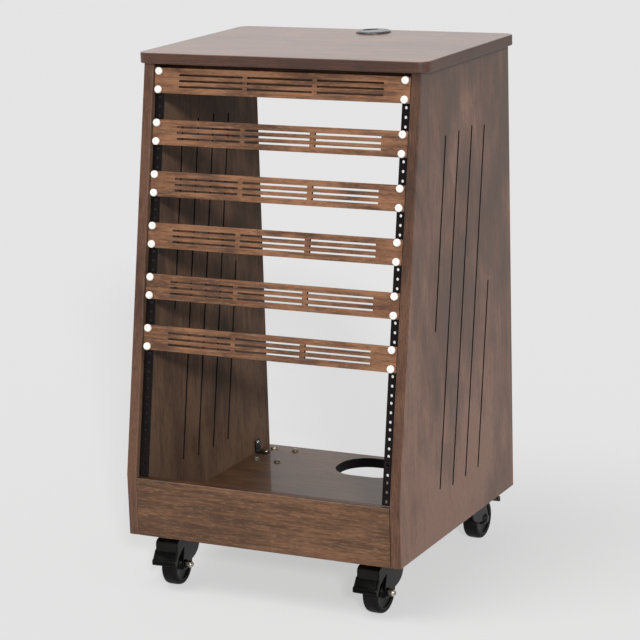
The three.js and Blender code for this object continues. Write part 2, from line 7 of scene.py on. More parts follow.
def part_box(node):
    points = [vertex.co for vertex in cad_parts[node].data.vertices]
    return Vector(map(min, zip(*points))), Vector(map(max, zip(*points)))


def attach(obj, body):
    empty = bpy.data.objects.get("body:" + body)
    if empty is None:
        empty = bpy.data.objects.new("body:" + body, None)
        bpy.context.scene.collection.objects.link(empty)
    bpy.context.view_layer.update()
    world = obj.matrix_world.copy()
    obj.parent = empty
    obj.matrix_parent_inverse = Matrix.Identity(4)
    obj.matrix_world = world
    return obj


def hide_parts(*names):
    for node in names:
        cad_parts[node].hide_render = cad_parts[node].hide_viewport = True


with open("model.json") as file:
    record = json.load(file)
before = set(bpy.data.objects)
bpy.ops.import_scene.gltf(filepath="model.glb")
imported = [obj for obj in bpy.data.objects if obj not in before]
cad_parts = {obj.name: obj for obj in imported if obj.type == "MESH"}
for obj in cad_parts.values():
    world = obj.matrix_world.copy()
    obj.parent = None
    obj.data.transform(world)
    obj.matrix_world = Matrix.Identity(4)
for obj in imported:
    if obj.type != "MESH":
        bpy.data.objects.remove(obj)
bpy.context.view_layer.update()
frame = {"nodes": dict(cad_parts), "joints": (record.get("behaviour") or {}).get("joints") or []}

MM = 0.001
corners = ("front_left", "front_right", "rear_left", "rear_right")
joints = {joint["name"]: joint for joint in frame["joints"]}

# Sizes in millimetres, the same as those of the solids. Some of the finer ones, such as the
# profiles of turned pieces, stand with their shapes.
lean = math.radians(10.1)
bay_half = 243.0
side_board = 19.0
base_underside = 107.0
seat_gap = 0.3

# Rails and rack screws. A unit of the rack has three holes, at these shares of its height.
unit_height = 44.45
rack_units = 16
hole_shares = (1 / 7, 0.5, 6 / 7)
hole_spacing = 465.1
rail_opening = 450.0
rail_thickness = 2.0
rail_leg_depth = 30.0
rail_hole_radius = 2.6
washer_radius = 7.3
cup_radius = 6.6
cup_height = 5.5

# Corner braces. A screw goes through each leg, so far from the back of the other one.
brace_leg = 24.0
brace_thickness = 2.5
brace_screw = 18.72

# Slots of the sides. The front edge of a side starts to lean at the kink, and each slot lies at
# a distance behind that edge, from a lower height to an upper one. Round each slot a near-black
# rim of painted shade stands proud of the face and overhangs the slot by a hair.
kink_y, kink_z = -262.906, 209.0
side_slots = ((111.95, 471.4, 793.4), (167.57, 191.7, 793.4), (223.19, 183.1, 793.4),
              (278.81, 183.1, 786.0), (334.44, 183.1, 508.1))
slot_half = 1.6
shade_rim_width = 0.75
shade_rim_proud = 0.12
shade_rim_overhang = 0.05

# Casters. Heights count from the underside of the base and places from the swivel axis, with
# the wheel and the pedal on the minus side of Y.
wheel_radius = 37.5
wheel_half = 13.6
wheel_trail = 35.0
plate_drop = 3.3
crown_top = -11.7
crown_bottom = -15.7
crown_radius = 27.0
fork_front = -34.0
fork_rear = 28.0
leg_inner = 15.0
leg_outer = 17.5
axle_height = wheel_radius - base_underside
bolt_places = [(x, y) for x in (-22.5, 22.5) for y in (-37.5, 37.5)]
pedal_half = 21.0
tread_half = 23.0
pedal_wall = 2.5
pedal_pivot = (0.0, -26.0, -24.0)

# Screws and nuts stand as they came tight, so hardly two stand alike: the turn of each is
# worked out from these degrees.
head_twist = 37
nut_twist = 11

# The pedal at the rear right rests with its lip up by so many degrees, as a foot left it.
pedal_lifts = {"rear_right": 8.0}


# Materials
def linear(hex_colour):
    """An sRGB hex colour as linear RGBA."""
    channels = [int(hex_colour[i:i + 2], 16) / 255 for i in (1, 3, 5)]
    curve = [c / 12.92 if c <= 0.04045 else ((c + 0.055) / 1.055) ** 2.4 for c in channels]
    return (*curve, 1.0)


def add_node(tree, kind, settings=None, links=None, stops=()):
    """A node with its settings, its sockets and, on a colour ramp, its stops.

    A socket's value may be a number, a colour or another socket.
    """
    node = tree.nodes.new(kind)
    for name, value in (settings or {}).items():
        setattr(node, name, value)
    for name, value in (links or {}).items():
        if isinstance(value, bpy.types.NodeSocket):
            tree.links.new(value, node.inputs[name])
        else:
            node.inputs[name].default_value = value
    while stops and len(node.color_ramp.elements) < len(stops):
        node.color_ramp.elements.new(0.5)
    for number, (place, colour) in enumerate(stops):
        node.color_ramp.elements[number].position = place
        node.color_ramp.elements[number].color = linear(colour)
    return node


def new_material(name, shader_values):
    """A finish with one shader, whose sockets take the values given."""
    material = bpy.data.materials.new(name)
    material.use_nodes = True
    tree = material.node_tree
    tree.nodes.clear()
    shader = add_node(tree, "ShaderNodeBsdfPrincipled", links=shader_values)
    add_node(tree, "ShaderNodeOutputMaterial", links={"Surface": shader.outputs[0]})
    return material, tree, shader


def finish_surface(tree, shader, arris, height, strength, depth):
    """Arrises eased by a radius in metres, with the surface's own relief on top of them."""
    eased = add_node(tree, "ShaderNodeBevel", {"samples": 6}, {"Radius": arris}).outputs[0]
    relief = add_node(tree, "ShaderNodeBump", links={
        "Height": height, "Normal": eased, "Strength": strength, "Distance": depth})
    tree.links.new(relief.outputs[0], shader.inputs["Normal"])


# Plywood: a ply's thickness in metres, the share of lacquer that stays on an edge, how far a
# painted gradient of light moves the tone, and the near black drawn on the walls of long cuts,
# which is painted shade in the slots.
ply_thickness = 0.0014
edge_lacquer = 0.12
light_gradient_swing = 0.035
cut_wall_shade = "#0d0807"


def stained_birch_plywood(name, tones, pore, grain, face, lacquer, mottle=0.5, fine=0.25,
                          face_gloss=0.25, plies=("#a1978c", "#d3cbc0"), inner_shade_tint=None,
                          light_gradient=None, shaded_cut_spans=(), flecks=None, satin=0.28):
    """Birch plywood, rotary cut, wiped with a brown water stain and sprayed with satin lacquer.

    The stain takes unevenly: clouds as wide as a spread hand, a mottle of a third of that and
    fine streaks along the grain. The lacquer gives a pale sheen at low angles. The board's edges
    show the plies. Faces that look into the cabinet are darkened by a tint, as painted shade, and
    their lacquer is left off. A painted gradient of light can make the tone lighter one way. The
    walls of long cuts are drawn near black: painted shade in the slots, and as dark in the
    cut-out. Grain names the axis that it runs along, and face the one across the board.
    """
    material, tree, shader = new_material(name, {
        "IOR": 1.5, "Specular IOR Level": face_gloss, "Coat IOR": 1.5,
        "Coat Roughness": satin})
    coords = add_node(tree, "ShaderNodeTexCoord").outputs["Object"]

    # One over the width of each figure in metres, along the grain and across it. Real pores are
    # half a millimetre wide, which is too fine to show, so they are drawn two wide.
    figures = {}
    for figure, along, across, detail, distortion in (
            ("clouds", 1 / 0.3, 1 / 0.16, 3.0, 0.7),
            ("mottle", 1 / 0.12, 1 / 0.05, 4.0, 1.1),
            ("streaks", 1 / 0.1, 1 / 0.006, 4.0, 0.6),
            ("pores", 1 / 0.012, 1 / 0.002, 1.0, 0.0)):
        scale = [across, across, across]
        scale["XYZ".index(grain)] = along
        stretched = add_node(tree, "ShaderNodeMapping", links={"Vector": coords, "Scale": scale})
        figures[figure] = add_node(tree, "ShaderNodeTexNoise", links={
            "Vector": stretched.outputs[0], "Scale": 1.0, "Detail": detail, "Roughness": 0.55,
            "Distortion": distortion}).outputs["Fac"]
    broad = add_node(tree, "ShaderNodeMix", {"data_type": "FLOAT"}, {
        "Factor": mottle, "A": figures["clouds"], "B": figures["mottle"]}).outputs[0]
    tone = add_node(tree, "ShaderNodeMix", {"data_type": "FLOAT"}, {
        "Factor": fine, "A": broad, "B": figures["streaks"]}).outputs[0]
    normal = add_node(tree, "ShaderNodeNewGeometry").outputs["True Normal"]
    facing = add_node(tree, "ShaderNodeSeparateXYZ", links={"Vector": normal}).outputs[face]
    flatness = add_node(tree, "ShaderNodeMath", {"operation": "ABSOLUTE"}, {0: facing}).outputs[0]
    if light_gradient:
        # Painted light: the tone is darker at the top of the front edge and lighter down and
        # back.
        direction, start, end = light_gradient
        way = add_node(tree, "ShaderNodeVectorMath", {"operation": "DOT_PRODUCT"}, {
            0: coords, 1: direction}).outputs["Value"]
        painted_light_shift = add_node(tree, "ShaderNodeMapRange", links={
            "Value": way, "From Min": start, "From Max": end, "To Min": -light_gradient_swing,
            "To Max": light_gradient_swing}).outputs[0]
        tone = add_node(tree, "ShaderNodeMath", {"operation": "MULTIPLY_ADD"}, {
            0: flatness, 1: painted_light_shift, 2: tone}).outputs[0]
    dark, middle, light = tones
    colour = add_node(tree, "ShaderNodeValToRGB", links={"Fac": tone}, stops=(
        (0.42, dark), (0.5, middle), (0.58, light))).outputs["Color"]
    open_pores = add_node(tree, "ShaderNodeMapRange", links={
        "Value": figures["pores"], "From Min": 0.56, "From Max": 0.7, "To Max": 0.42}).outputs[0]
    colour = add_node(tree, "ShaderNodeMix", {"data_type": "RGBA"}, {
        "Factor": open_pores, "A": colour, "B": linear(pore)}).outputs["Result"]
    if flecks:
        # Where the sander closed the pores, the stain didn't take: fine pale flecks are left.
        closed = add_node(tree, "ShaderNodeMapRange", links={
            "Value": figures["pores"], "From Min": 0.43, "From Max": 0.3,
            "To Max": 0.4}).outputs[0]
        colour = add_node(tree, "ShaderNodeMix", {"data_type": "RGBA"}, {
            "Factor": closed, "A": colour, "B": linear(flecks)}).outputs["Result"]

    # The glue lines between the plies darken the edges of the board.
    edge = add_node(tree, "ShaderNodeMath", {"operation": "LESS_THAN"}, {
        0: flatness, 1: 0.5}).outputs[0]
    place = add_node(tree, "ShaderNodeSeparateXYZ", links={"Vector": coords}).outputs[face]
    ply = add_node(tree, "ShaderNodeMath", {"operation": "PINGPONG"}, {
        0: place, 1: ply_thickness}).outputs[0]
    layer = add_node(tree, "ShaderNodeMath", {"operation": "DIVIDE"}, {
        0: ply, 1: ply_thickness}).outputs[0]
    layers = add_node(tree, "ShaderNodeValToRGB", links={"Fac": layer}, stops=(
        (0.1, plies[0]), (0.6, plies[1]))).outputs["Color"]
    colour = add_node(tree, "ShaderNodeMix", {"data_type": "RGBA", "blend_type": "MULTIPLY"}, {
        "Factor": edge, "A": colour, "B": layers}).outputs["Result"]

    # The end grain soaks up most of the lacquer.
    coat = add_node(tree, "ShaderNodeMapRange", links={
        "Value": edge, "To Min": lacquer, "To Max": min(lacquer, edge_lacquer)}).outputs[0]
    gloss = add_node(tree, "ShaderNodeMapRange", links={
        "Value": figures["mottle"], "To Min": 0.38, "To Max": 0.58}).outputs[0]

    # Painted shade: faces that look into the cabinet are darkened by a tint, and their lacquer is
    # left off.
    if inner_shade_tint:
        # The product of place and normal is negative on the face that looks at the middle.
        looks_in = add_node(tree, "ShaderNodeMath", {"operation": "MULTIPLY"}, {
            0: facing, 1: place}).outputs[0]
        inner = add_node(tree, "ShaderNodeMath", {"operation": "LESS_THAN"}, {
            0: looks_in, 1: -0.1}).outputs[0]
        colour = add_node(tree, "ShaderNodeMix", {
            "data_type": "RGBA", "blend_type": "MULTIPLY"}, {
            "Factor": inner, "A": colour, "B": linear(inner_shade_tint)}).outputs["Result"]
        coat = add_node(tree, "ShaderNodeMix", {"data_type": "FLOAT"}, {
            "Factor": inner, "A": coat, "B": 0.0}).outputs[0]
        gloss = add_node(tree, "ShaderNodeMix", {"data_type": "FLOAT"}, {
            "Factor": inner, "A": gloss, "B": 0.75}).outputs[0]
    # Painted shade: the walls of the cuts within the given spans are drawn near black and matt;
    # in the base's cut-out they are just as dark.
    if shaded_cut_spans:
        shaded_cut_walls = edge
        for direction, middle_place, reach in shaded_cut_spans:
            along = add_node(tree, "ShaderNodeVectorMath", {"operation": "DOT_PRODUCT"}, {
                0: coords, 1: direction}).outputs["Value"]
            within = add_node(tree, "ShaderNodeMath", {"operation": "COMPARE"}, {
                0: along, 1: middle_place, 2: reach}).outputs[0]
            shaded_cut_walls = add_node(tree, "ShaderNodeMath", {"operation": "MULTIPLY"}, {
                0: shaded_cut_walls, 1: within}).outputs[0]
        colour = add_node(tree, "ShaderNodeMix", {"data_type": "RGBA"}, {
            "Factor": shaded_cut_walls, "A": colour, "B": linear(cut_wall_shade)}).outputs["Result"]
        coat = add_node(tree, "ShaderNodeMix", {"data_type": "FLOAT"}, {
            "Factor": shaded_cut_walls, "A": coat, "B": 0.0}).outputs[0]
        gloss = add_node(tree, "ShaderNodeMix", {"data_type": "FLOAT"}, {
            "Factor": shaded_cut_walls, "A": gloss, "B": 0.85}).outputs[0]
    tree.links.new(colour, shader.inputs["Base Color"])
    tree.links.new(coat, shader.inputs["Coat Weight"])
    tree.links.new(gloss, shader.inputs["Roughness"])
    finish_surface(tree, shader, arris=0.0012, height=figures["streaks"], strength=0.18,
                   depth=0.0002)
    return material


def painted_or_moulded(name, colour, dusty, roughness, peel_width, relief, level=0.25,
                       polish=0.0):
    """Paint or moulded plastic: a fine orange peel or spark grain, dulled here and there.

    The peel's width is in metres. The dull places are as wide as a fingertip.
    """
    material, tree, shader = new_material(name, {
        "IOR": 1.5, "Specular IOR Level": level, "Coat Weight": polish, "Coat IOR": 1.6,
        "Coat Roughness": 0.08})
    coords = add_node(tree, "ShaderNodeTexCoord").outputs["Object"]
    peel = add_node(tree, "ShaderNodeTexNoise", links={
        "Vector": coords, "Scale": 1 / peel_width, "Detail": 2.0}).outputs["Fac"]
    handling = add_node(tree, "ShaderNodeTexNoise", links={
        "Vector": coords, "Scale": 1 / 0.022, "Detail": 4.0, "Roughness": 0.6}).outputs["Fac"]
    tint = add_node(tree, "ShaderNodeValToRGB", links={"Fac": handling}, stops=(
        (0.4, colour), (0.72, dusty))).outputs["Color"]
    tree.links.new(tint, shader.inputs["Base Color"])
    gloss = add_node(tree, "ShaderNodeMapRange", links={
        "Value": handling, "To Min": roughness - 0.07, "To Max": roughness + 0.09}).outputs[0]
    tree.links.new(gloss, shader.inputs["Roughness"])
    finish_surface(tree, shader, arris=0.0006, height=peel, strength=relief, depth=0.0002)
    return material


def zinc_plated_steel(name, dull, bright, roughness):
    """Turned steel, zinc plated and clear passivated: pale and warm, with a cloudy shine."""
    material, tree, shader = new_material(name, {"Metallic": 1.0})
    coords = add_node(tree, "ShaderNodeTexCoord").outputs["Object"]
    cloud = add_node(tree, "ShaderNodeTexNoise", links={
        "Vector": coords, "Scale": 1 / 0.006, "Detail": 3.0}).outputs["Fac"]
    tint = add_node(tree, "ShaderNodeValToRGB", links={"Fac": cloud}, stops=(
        (0.3, dull), (0.7, bright))).outputs["Color"]
    tree.links.new(tint, shader.inputs["Base Color"])
    gloss = add_node(tree, "ShaderNodeMapRange", links={
        "Value": cloud, "To Min": roughness - 0.08, "To Max": roughness + 0.08}).outputs[0]
    tree.links.new(gloss, shader.inputs["Roughness"])
    finish_surface(tree, shader, arris=0.0004, height=cloud, strength=0.1, depth=0.0001)
    return material


def moulded_white_nylon(name):
    """Injection-moulded nylon 6: milky, with a soft skin and a faint cloud from the mould."""
    material, tree, shader = new_material(name, {
        "IOR": 1.53, "Subsurface Weight": 0.15, "Subsurface Radius": (0.002, 0.002, 0.0015)})
    coords = add_node(tree, "ShaderNodeTexCoord").outputs["Object"]
    cloud = add_node(tree, "ShaderNodeTexNoise", links={
        "Vector": coords, "Scale": 1 / 0.0045, "Detail": 2.0}).outputs["Fac"]
    tint = add_node(tree, "ShaderNodeValToRGB", links={"Fac": cloud}, stops=(
        (0.3, "#f0e7e0"), (0.7, "#f7efe9"))).outputs["Color"]
    tree.links.new(tint, shader.inputs["Base Color"])
    gloss = add_node(tree, "ShaderNodeMapRange", links={
        "Value": cloud, "To Min": 0.32, "To Max": 0.44}).outputs[0]
    tree.links.new(gloss, shader.inputs["Roughness"])
    finish_surface(tree, shader, arris=0.0005, height=cloud, strength=0.06, depth=0.0001)
    return material


# Where the walls of the cuts are drawn near black, as painted shade in the slots and just as dark
# in the cut-out: the slots of a side behind its front edge and up it, and the cut-out of the base
# across and along it. Each is a direction, with the middle of the cuts along it and half of their
# span in metres.
across_slots = ((0.0, math.cos(lean), -math.sin(lean)), -0.072, 0.118)
up_slots = ((0.0, 0.0, 1.0), 0.488, 0.312)
across_cutout = ((1.0, 0.0, 0.0), 0.010, 0.0715)
along_cutout = ((0.0, 1.0, 0.0), 0.1686, 0.0570)

# The sides: a walnut-brown stain with soft clouds, and a satin sheen at low angles. Painted shade
# darkens the inner faces and the slot walls, and a painted gradient of light runs down each side.
side_wood = stained_birch_plywood(
    "stained_side_plywood", ("#4f392e", "#66493b", "#7b5b4b"), pore="#2c1b13", grain="Z",
    face="X", lacquer=0.2, mottle=0.35, fine=0.22, inner_shade_tint="#d6dcd1",
    light_gradient=((0.0, 0.6, -0.8), -0.78, 0.0), shaded_cut_spans=(across_slots, up_slots))
# The top: the same stain, a little redder, under several coats that shine pale from the front.
top_wood = stained_birch_plywood(
    "stained_top_plywood", ("#5a3a2b", "#6f4a37", "#835a45"), pore="#2e1c14", grain="X",
    face="Z", lacquer=0.72, mottle=0.45, fine=0.3, face_gloss=0.5,
    plies=("#72645a", "#a8988a"), satin=0.16)
# The base: darker, and smooth enough to mirror the back's bright opening.
base_wood = stained_birch_plywood(
    "stained_base_plywood", ("#4b3323", "#5f422d", "#715039"), pore="#2a1912", grain="X",
    face="Z", lacquer=0.4, fine=0.3, shaded_cut_spans=(across_cutout, along_cutout), satin=0.09)
# The plinth and the stretcher: level grain, with pale flecks and hardly any shine.
front_wood = stained_birch_plywood(
    "stained_front_plywood", ("#462f1f", "#593d29", "#6a4a34"), pore="#38241a", grain="X",
    face="Y", lacquer=0.2, mottle=0.4, fine=0.5, flecks="#83644b")
# The vent panels: thin plywood that took less stain, so they are the lightest and warmest.
vent_wood = stained_birch_plywood(
    "stained_vent_plywood", ("#4f3525", "#6d4a33", "#855d42"), pore="#3a2418", grain="X",
    face="Y", lacquer=0.2, mottle=0.6, fine=0.42, plies=("#4a3a30", "#67513f"),
    flecks="#926c50")
# Rails: rolled steel, powder coated, a flat black with a fine orange peel.
rail_steel = painted_or_moulded(
    "black_powder_coated_steel", "#0c0607", "#140c0c", roughness=0.42, peel_width=0.0011,
    relief=0.25, level=0.12)
# Plates and forks of the casters: pressed steel, dipped in enamel, black with soft glints.
caster_steel = painted_or_moulded(
    "black_enamelled_steel", "#070607", "#131214", roughness=0.28, peel_width=0.002,
    relief=0.12, level=0.18)
# Pedals and wheel hubs: nylon, injection moulded in a sparked mould, deep black.
pedal_plastic = painted_or_moulded(
    "moulded_black_nylon", "#080706", "#110f0e", roughness=0.3, peel_width=0.0008,
    relief=0.1, level=0.16)
# Corner braces: bent steel strip, lacquered black, with a dull gleam round the bend.
brace_steel = painted_or_moulded(
    "black_lacquered_steel", "#090708", "#120f10", roughness=0.4, peel_width=0.0014,
    relief=0.2, level=0.2)
# Grommet: ABS, moulded smooth, a black that mirrors the room at low angles.
grommet_plastic = painted_or_moulded(
    "moulded_black_abs", "#0f0c0b", "#191513", roughness=0.3, peel_width=0.0007,
    relief=0.04, level=0.5, polish=0.6)
# Treads: rubber, moulded on the hub, matt and faintly dusty.
tread_rubber = painted_or_moulded(
    "moulded_black_rubber", "#0a0808", "#171415", roughness=0.5, peel_width=0.0014,
    relief=0.2, level=0.1)
# Cross recesses of the white screws: the same nylon in its own shadow, a warm grey.
recess_plastic = painted_or_moulded(
    "grey_shadowed_nylon", "#cfc5bd", "#dbd1c9", roughness=0.5, peel_width=0.0011,
    relief=0.1)
# Round the slots: a near-black matt rim, painted shade that widens the slots' dark.
slot_shade_paint = painted_or_moulded(
    "painted_slot_shade", "#0e0806", "#1a100b", roughness=0.75, peel_width=0.0012,
    relief=0.2, level=0.05)
# Screws, pins and axles: steel, zinc plated, pale with a blurred shine. The base bolts and the
# axle nuts take a darker, duller copy of it, whose darker colour is painted shade.
zinc_steel = zinc_plated_steel("zinc_plated_steel", "#b9b7b2", "#dcdad4", roughness=0.28)
shaded_zinc = zinc_plated_steel(
    "shaded_zinc_plated_steel", "#7d766b", "#a59c8e", roughness=0.42)
# Rack screws and their cups: white nylon that glows a little at its edges.
white_nylon = moulded_white_nylon("moulded_white_nylon")


def finish_node(node, material):
    """Dresses one of the solids as it is in a finish."""
    slots = frame["nodes"][node].data.materials
    slots.clear()
    slots.append(material)


for node in frame["nodes"]:
    if node.startswith("side_panel"):
        finish_node(node, side_wood)
    elif node.startswith("vent_panel"):
        finish_node(node, vent_wood)
finish_node("top_board", top_wood)
finish_node("base_board", base_wood)
finish_node("front_plinth", front_wood)
finish_node("top_stretcher", front_wood)
finish_node("grommet_cap", grommet_plastic)


# Shapes, each as (points, faces) in millimetres
def lathe(profile, steps):
    """A profile of (radius, height) turned about Z; its ends lie on the axis, or it closes."""
    points, faces, rings = [], [], []
    for radius, height in profile:
        if radius == 0:
            rings.append([len(points)] * steps)
            points.append((0, 0, height))
            continue
        rings.append(list(range(len(points), len(points) + steps)))
        for i in range(steps):
            angle = 2 * math.pi * i / steps
            points.append((radius * math.cos(angle), radius * math.sin(angle), height))
    for low, high in zip(rings, rings[1:]):
        for i in range(steps):
            j = (i + 1) % steps
            face = []
            for point in (low[i], low[j], high[j], high[i]):
                if point not in face:
                    face.append(point)
            if len(face) > 2:
                faces.append(face)
    return points, faces


def signed_area(outline):
    """The area inside an outline, above zero where it runs anticlockwise."""
    following = outline[1:] + outline[:1]
    return sum(a[0] * b[1] - b[0] * a[1] for a, b in zip(outline, following)) / 2


def prism(outline, low, high):
    """An outline of (x, y) raised from low to high along Z."""
    if signed_area(outline) < 0:
        outline = outline[::-1]
    count = len(outline)
    points = [(x, y, z) for z in (low, high) for x, y in outline]
    faces = [list(range(count))[::-1], list(range(count, 2 * count))]
    faces += [[i, (i + 1) % count, count + (i + 1) % count, count + i] for i in range(count)]
    return points, faces


def placed(shape, matrix):
    """A shape turned and moved by a matrix."""
    points, faces = shape
    return [tuple(matrix @ Vector(point)) for point in points], faces


def moved(shape, x=0.0, y=0.0, z=0.0):
    return placed(shape, Matrix.Translation((x, y, z)))


def along_x(shape):
    """Turns Z of a shape into X, X into Y and Y into Z."""
    return placed(shape, Matrix(((0, 0, 1, 0), (1, 0, 0, 0), (0, 1, 0, 0), (0, 0, 0, 1))))


def along_y(shape):
    """Turns Z of a shape into Y, Y into Z and X into minus X."""
    return placed(shape, Matrix(((-1, 0, 0, 0), (0, 0, 1, 0), (0, 1, 0, 0), (0, 0, 0, 1))))


def arc(x, y, radius, start, end, steps):
    """Points round a centre, from one angle to another in degrees."""
    angles = [math.radians(start + (end - start) * i / steps) for i in range(steps + 1)]
    return [(x + radius * math.cos(a), y + radius * math.sin(a)) for a in angles]


def smooth_line(points, steps=4):
    """A smooth line through points, from the first to the last."""
    line = [points[0]]
    ends = [points[0], *points, points[-1]]
    for before, start, end, after in zip(ends, ends[1:], ends[2:], ends[3:]):
        for i in range(1, steps + 1):
            t = i / steps
            line.append(tuple(
                0.5 * (2 * b + (c - a) * t + (2 * a - 5 * b + 4 * c - d) * t ** 2
                       + (3 * b - a - 3 * c + d) * t ** 3)
                for a, b, c, d in zip(before, start, end, after)))
    return line


def inset(line, distance):
    """A line of (x, y) moved sideways by a distance, to its right as it runs."""
    moved_line = []
    for i, (x, y) in enumerate(line):
        ahead = line[min(i + 1, len(line) - 1)]
        behind = line[max(i - 1, 0)]
        run, rise = ahead[0] - behind[0], ahead[1] - behind[1]
        length = math.hypot(run, rise)
        moved_line.append((x + distance * rise / length, y - distance * run / length))
    return moved_line


def rounded_rectangle(half_x, half_y, radius, steps=6):
    """An outline round the origin, with rounded corners."""
    x, y = half_x - radius, half_y - radius
    return (arc(x, -y, radius, -90, 0, steps) + arc(x, y, radius, 0, 90, steps)
            + arc(-x, y, radius, 90, 180, steps) + arc(-x, -y, radius, 180, 270, steps))


def hexagon(across_corners, turn=0.0):
    """A nut's outline round the origin, turned by so many degrees."""
    return arc(0, 0, across_corners / 2, turn, turn + 300, 5)


def make_piece(name, parts, body, nodes=(), bevel=0.0):
    """One object from parts of (shape, material), which rides on a body and stands for nodes."""
    points, faces, finishes, materials = [], [], [], []
    for (part_points, part_faces), material in parts:
        if material not in materials:
            materials.append(material)
        start = len(points)
        points += [tuple(c * MM for c in point) for point in part_points]
        faces += [[start + i for i in face] for face in part_faces]
        finishes += [materials.index(material)] * len(part_faces)
    mesh = bpy.data.meshes.new(name)
    mesh.from_pydata(points, [], faces)
    for material in materials:
        mesh.materials.append(material)
    mesh.polygons.foreach_set("material_index", finishes)
    mesh.validate()
    mesh.shade_smooth()
    mesh.set_sharp_from_angle(angle=math.radians(32))
    piece = bpy.data.objects.new(name, mesh)
    bpy.context.scene.collection.objects.link(piece)
    if bevel:
        modifier = piece.modifiers.new("eased", "BEVEL")
        modifier.width = bevel * MM
        modifier.segments = 3
        modifier.limit_method = "ANGLE"
        modifier.angle_limit = math.radians(38)
    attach(piece, body)
    if nodes:
        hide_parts(*nodes)
    return piece


# Slots of the sides
def slot_outline(distance, low, high, radius):
    """A slot's outline of (y, z), which runs round its lower end and then its upper one."""
    line = []
    for height, start in ((low, 180), (high, 0)):
        y = kink_y + (height - kink_z) * math.tan(lean) + distance / math.cos(lean)
        turn = -math.degrees(lean)
        line += arc(y, height, radius, start + turn, start + turn + 180, 8)
    return line


def ring_band(outer, inner, low, high):
    """A flat ring between two outlines of as many points, from low to high along Z."""
    count = len(outer)
    points = [(x, y, z) for line, z in ((outer, low), (outer, high), (inner, high), (inner, low))
              for x, y in line]
    faces = []
    for loop in range(4):
        for i in range(count):
            j = (i + 1) % count
            ahead = (loop + 1) % 4
            faces.append([loop * count + i, loop * count + j, ahead * count + j,
                          ahead * count + i])
    return points, faces


def slot_shade_rims():
    """Rims of painted shade round the slots, a little proud of the sides' faces."""
    for side, sign in (("left", -1), ("right", 1)):
        parts = []
        for face in (bay_half, bay_half + side_board):
            low, high = sorted((sign * (face - shade_rim_proud), sign * (face + shade_rim_proud)))
            for distance, bottom, top in side_slots:
                band = ring_band(slot_outline(distance, bottom, top, slot_half + shade_rim_width),
                                 slot_outline(distance, bottom, top, slot_half - shade_rim_overhang),
                                 low, high)
                parts.append((along_x(band), slot_shade_paint))
        make_piece(f"slot_shade_rims_{side}", parts, "cabinet")


slot_shade_rims()


# Rack screws
def screw_cup():
    """A deep cup washer on a thin flange, with a dished seat, its rim rounded over."""
    return lathe([
        (0, -0.2), (cup_radius - 0.2, -0.2), (cup_radius, 0.3), (cup_radius, 2.9),
        (cup_radius - 0.35, 3.9), (cup_radius - 1.1, 4.7), (cup_radius - 2.2, cup_height - 0.25),
        (4.0, cup_height), (3.5, cup_height - 0.3), (3.2, cup_height - 1.2),
        (0, cup_height - 1.2)], 32)


def screw_head():
    """A pan head seated in the cup, and the two bars of its cross recess."""
    head = lathe([(0, 3.6), (3.0, 3.6), (3.0, 4.6), (2.4, 5.1), (1.1, 5.4), (0, 5.4)], 20)
    bars = [moved(prism(rounded_rectangle(half_x, half_y, 0.2, 2), 0, 0.2), z=5.25)
            for half_x, half_y in ((1.4, 0.3), (0.3, 1.4))]
    return head, bars


def rack_screws():
    """A cup and a screw in place of each rack screw's solid, each turned its own way."""
    head, bars = screw_head()
    turned = Matrix.Rotation(math.pi / 2 - lean, 4, "X")
    for node in frame["nodes"]:
        if not node.startswith("rack_screw"):
            continue
        low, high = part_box(node)
        middle = (low + high) / 2 / MM
        # The washer's highest point and the cup's foremost one give the place of its seat.
        seat_z = high.z / MM - washer_radius * math.cos(lean)
        seat_y = low.y / MM + cup_height * math.cos(lean)
        place = Matrix.Translation((middle.x, seat_y, seat_z)) @ turned
        angle = head_twist * (len(node) + int(node.split("_")[2]))
        twist = Matrix.Rotation(math.radians(angle), 4, "Z")
        parts = [(placed(screw_cup(), place), white_nylon),
                 (placed(head, place @ twist), white_nylon)]
        parts += [(placed(bar, place @ twist), recess_plastic) for bar in bars]
        make_piece(node.replace("rack_screw", "cup_screw"), parts, "cabinet", [node])


rack_screws()


# Rails
def drilled_strip(low_x, high_x, hole_x, thickness, steps=4):
    """A strip with every hole of the rack, cell by cell, from its foot to the rack's height."""
    points, faces = [], []

    def point(x, y, z):
        points.append((x, y, z))
        return len(points) - 1

    heights = [(unit + share) * unit_height
               for unit in range(rack_units) for share in hole_shares]
    borders = [(a + b) / 2 for a, b in zip(heights, heights[1:])]
    borders = [0.0] + borders + [rack_units * unit_height]
    for height, low, high in zip(heights, borders, borders[1:]):
        square = [(low_x, low), (high_x, low), (high_x, high), (low_x, high)]
        ring = []
        for corner in range(len(square)):
            start = -135 + 90 * corner
            for i in range(steps):
                angle = math.radians(start + 90 * i / steps)
                ring.append((hole_x + rail_hole_radius * math.cos(angle),
                             height + rail_hole_radius * math.sin(angle)))
        count = len(ring)
        layers = []
        for y in (0.0, thickness):
            layers.append(([point(x, y, z) for x, z in square],
                           [point(x, y, z) for x, z in ring]))
        for layer, (square_ids, ring_ids) in enumerate(layers):
            for corner in range(4):
                fan = [ring_ids[(corner * steps + i) % count] for i in range(steps + 1)]
                face = [square_ids[corner], square_ids[(corner + 1) % 4]] + fan[::-1]
                faces.append(face if layer == 0 else face[::-1])
        (front_square, front_ring), (back_square, back_ring) = layers
        for i in range(count):
            j = (i + 1) % count
            faces.append([front_ring[j], back_ring[j], back_ring[i], front_ring[i]])
        for corner in (1, 3):
            j = (corner + 1) % 4
            faces.append([back_square[corner], back_square[j], front_square[j],
                          front_square[corner]])
    return points, faces


